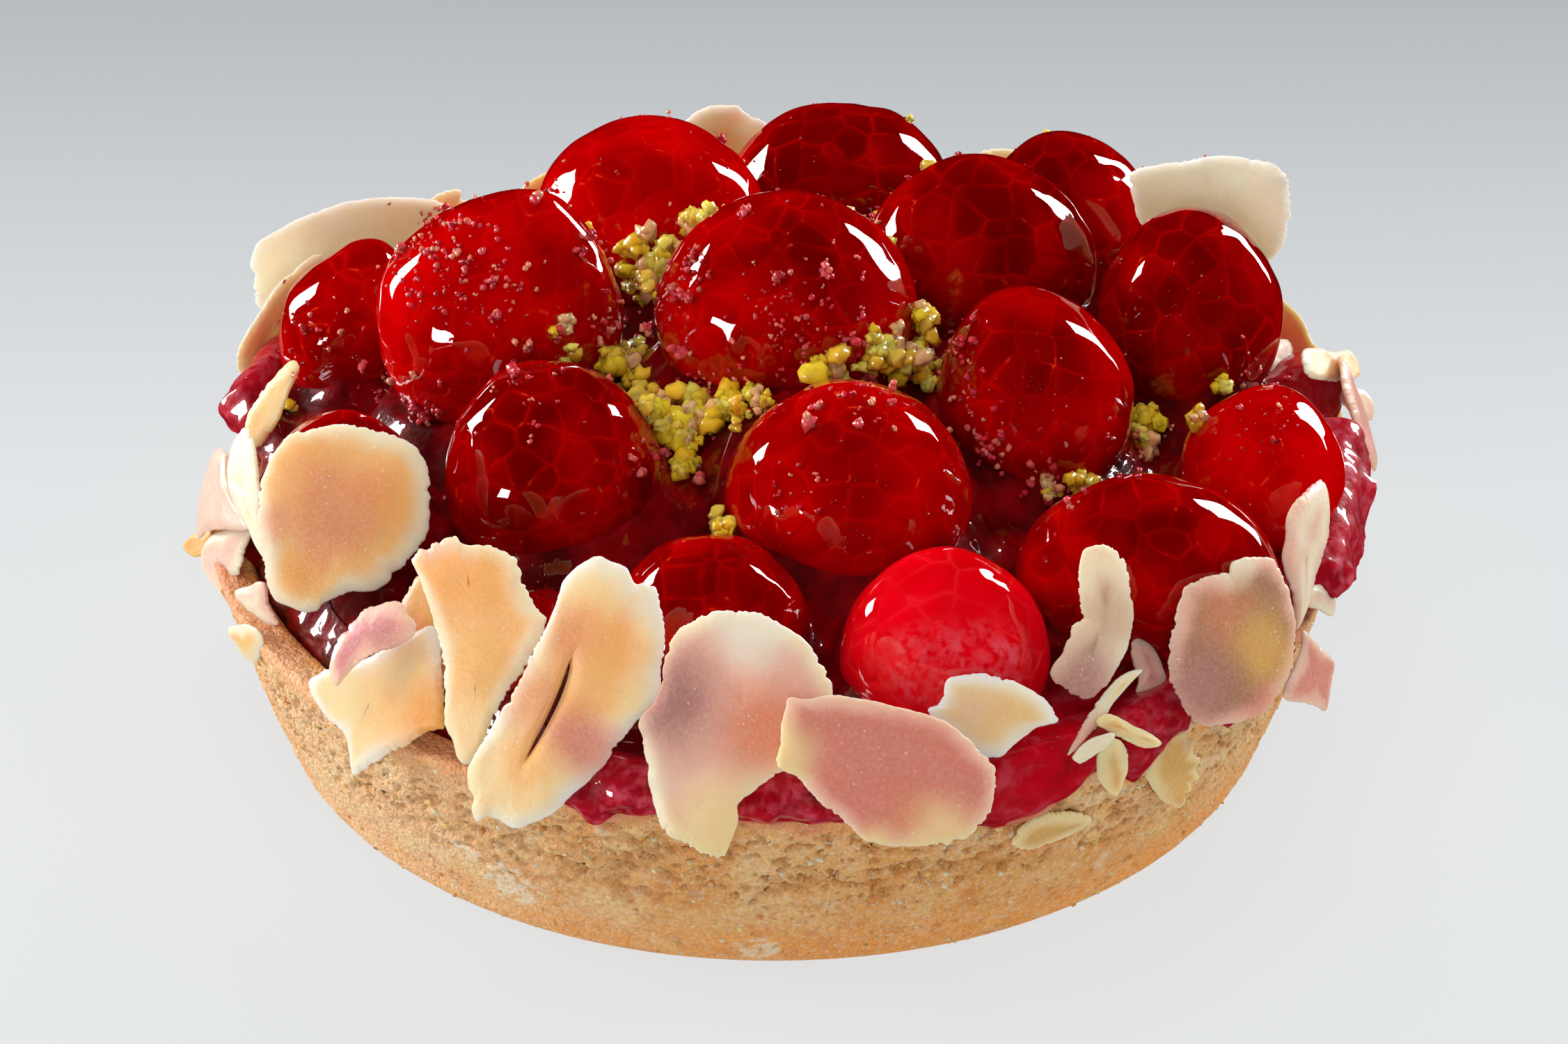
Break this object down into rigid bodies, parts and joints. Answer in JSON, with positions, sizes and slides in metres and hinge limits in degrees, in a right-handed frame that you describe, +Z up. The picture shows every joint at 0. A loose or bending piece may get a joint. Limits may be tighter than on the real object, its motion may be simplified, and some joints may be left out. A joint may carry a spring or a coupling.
{
  "type": "raspberry almond tart",
  "caption": "Small round shortcrust tart heaped with glazed raspberries, ringed by toasted almond flakes, with green and pink crumbs between the berries.",
  "frame": {"origin": "middle of the flat underside of the pastry case", "axes": "+Z up, -Y towards the side that the picture shows"},
  "size_m": [0.0919, 0.0965, 0.0426],
  "materials": {
    "shortcrust": "baked crumbly shortcrust, golden, pitted",
    "red_glaze": "deep red mirror glaze, wet gloss",
    "glazed_raspberry": "raspberry under a thick clear red glaze",
    "toasted_almond": "cream flaked almond, toasted in the middle, stained pink by juice"
  },
  "bodies": {
    "root": {"berry_back_left": "glazed_raspberry", "berry_back_middle": "glazed_raspberry", "berry_back_right": "glazed_raspberry", "berry_back_upper": "glazed_raspberry", "berry_front": "glazed_raspberry", "berry_front_left": "glazed_raspberry", "berry_left_back": "glazed_raspberry", "berry_left_front": "glazed_raspberry", "berry_left_lower": "glazed_raspberry", "berry_left_upper": "glazed_raspberry", "berry_middle": "glazed_raspberry", "berry_right": "glazed_raspberry", "berry_right_front": "glazed_raspberry", "berry_right_middle": "glazed_raspberry", "berry_right_upper": "glazed_raspberry", "berry_top": "glazed_raspberry", "berry_under_back": "glazed_raspberry", "berry_under_front": "glazed_raspberry", "berry_under_left": "glazed_raspberry", "filling": "red_glaze", "flake_back_01": "toasted_almond", "flake_back_02": "toasted_almond", "flake_back_03": "toasted_almond", "flake_back_04": "toasted_almond", "flake_back_05": "toasted_almond", "flake_back_06": "toasted_almond", "flake_back_07": "toasted_almond", "flake_back_08": "toasted_almond", "flake_back_09": "toasted_almond", "flake_back_10": "toasted_almond", "flake_back_11": "toasted_almond", "flake_back_centre": "toasted_almond", "flake_back_left": "toasted_almond", "flake_back_right": "toasted_almond", "flake_behind_tall": "toasted_almond", "flake_broad": "toasted_almond", "flake_cream": "toasted_almond", "flake_curved": "toasted_almond", "flake_edge_left": "toasted_almond", "flake_edge_right": "toasted_almond", "flake_left_back": "toasted_almond", "flake_level": "toasted_almond", "flake_oval_right": "toasted_almond", "flake_pale": "toasted_almond", "flake_pink_left": "toasted_almond", "flake_pink_right": "toasted_almond", "flake_plum": "toasted_almond", "flake_round_left": "toasted_almond", "flake_shard": "toasted_almond", "flake_slit": "toasted_almond", "flake_tall": "toasted_almond", "pastry_case": "shortcrust"}
  },
  "joints": []
}
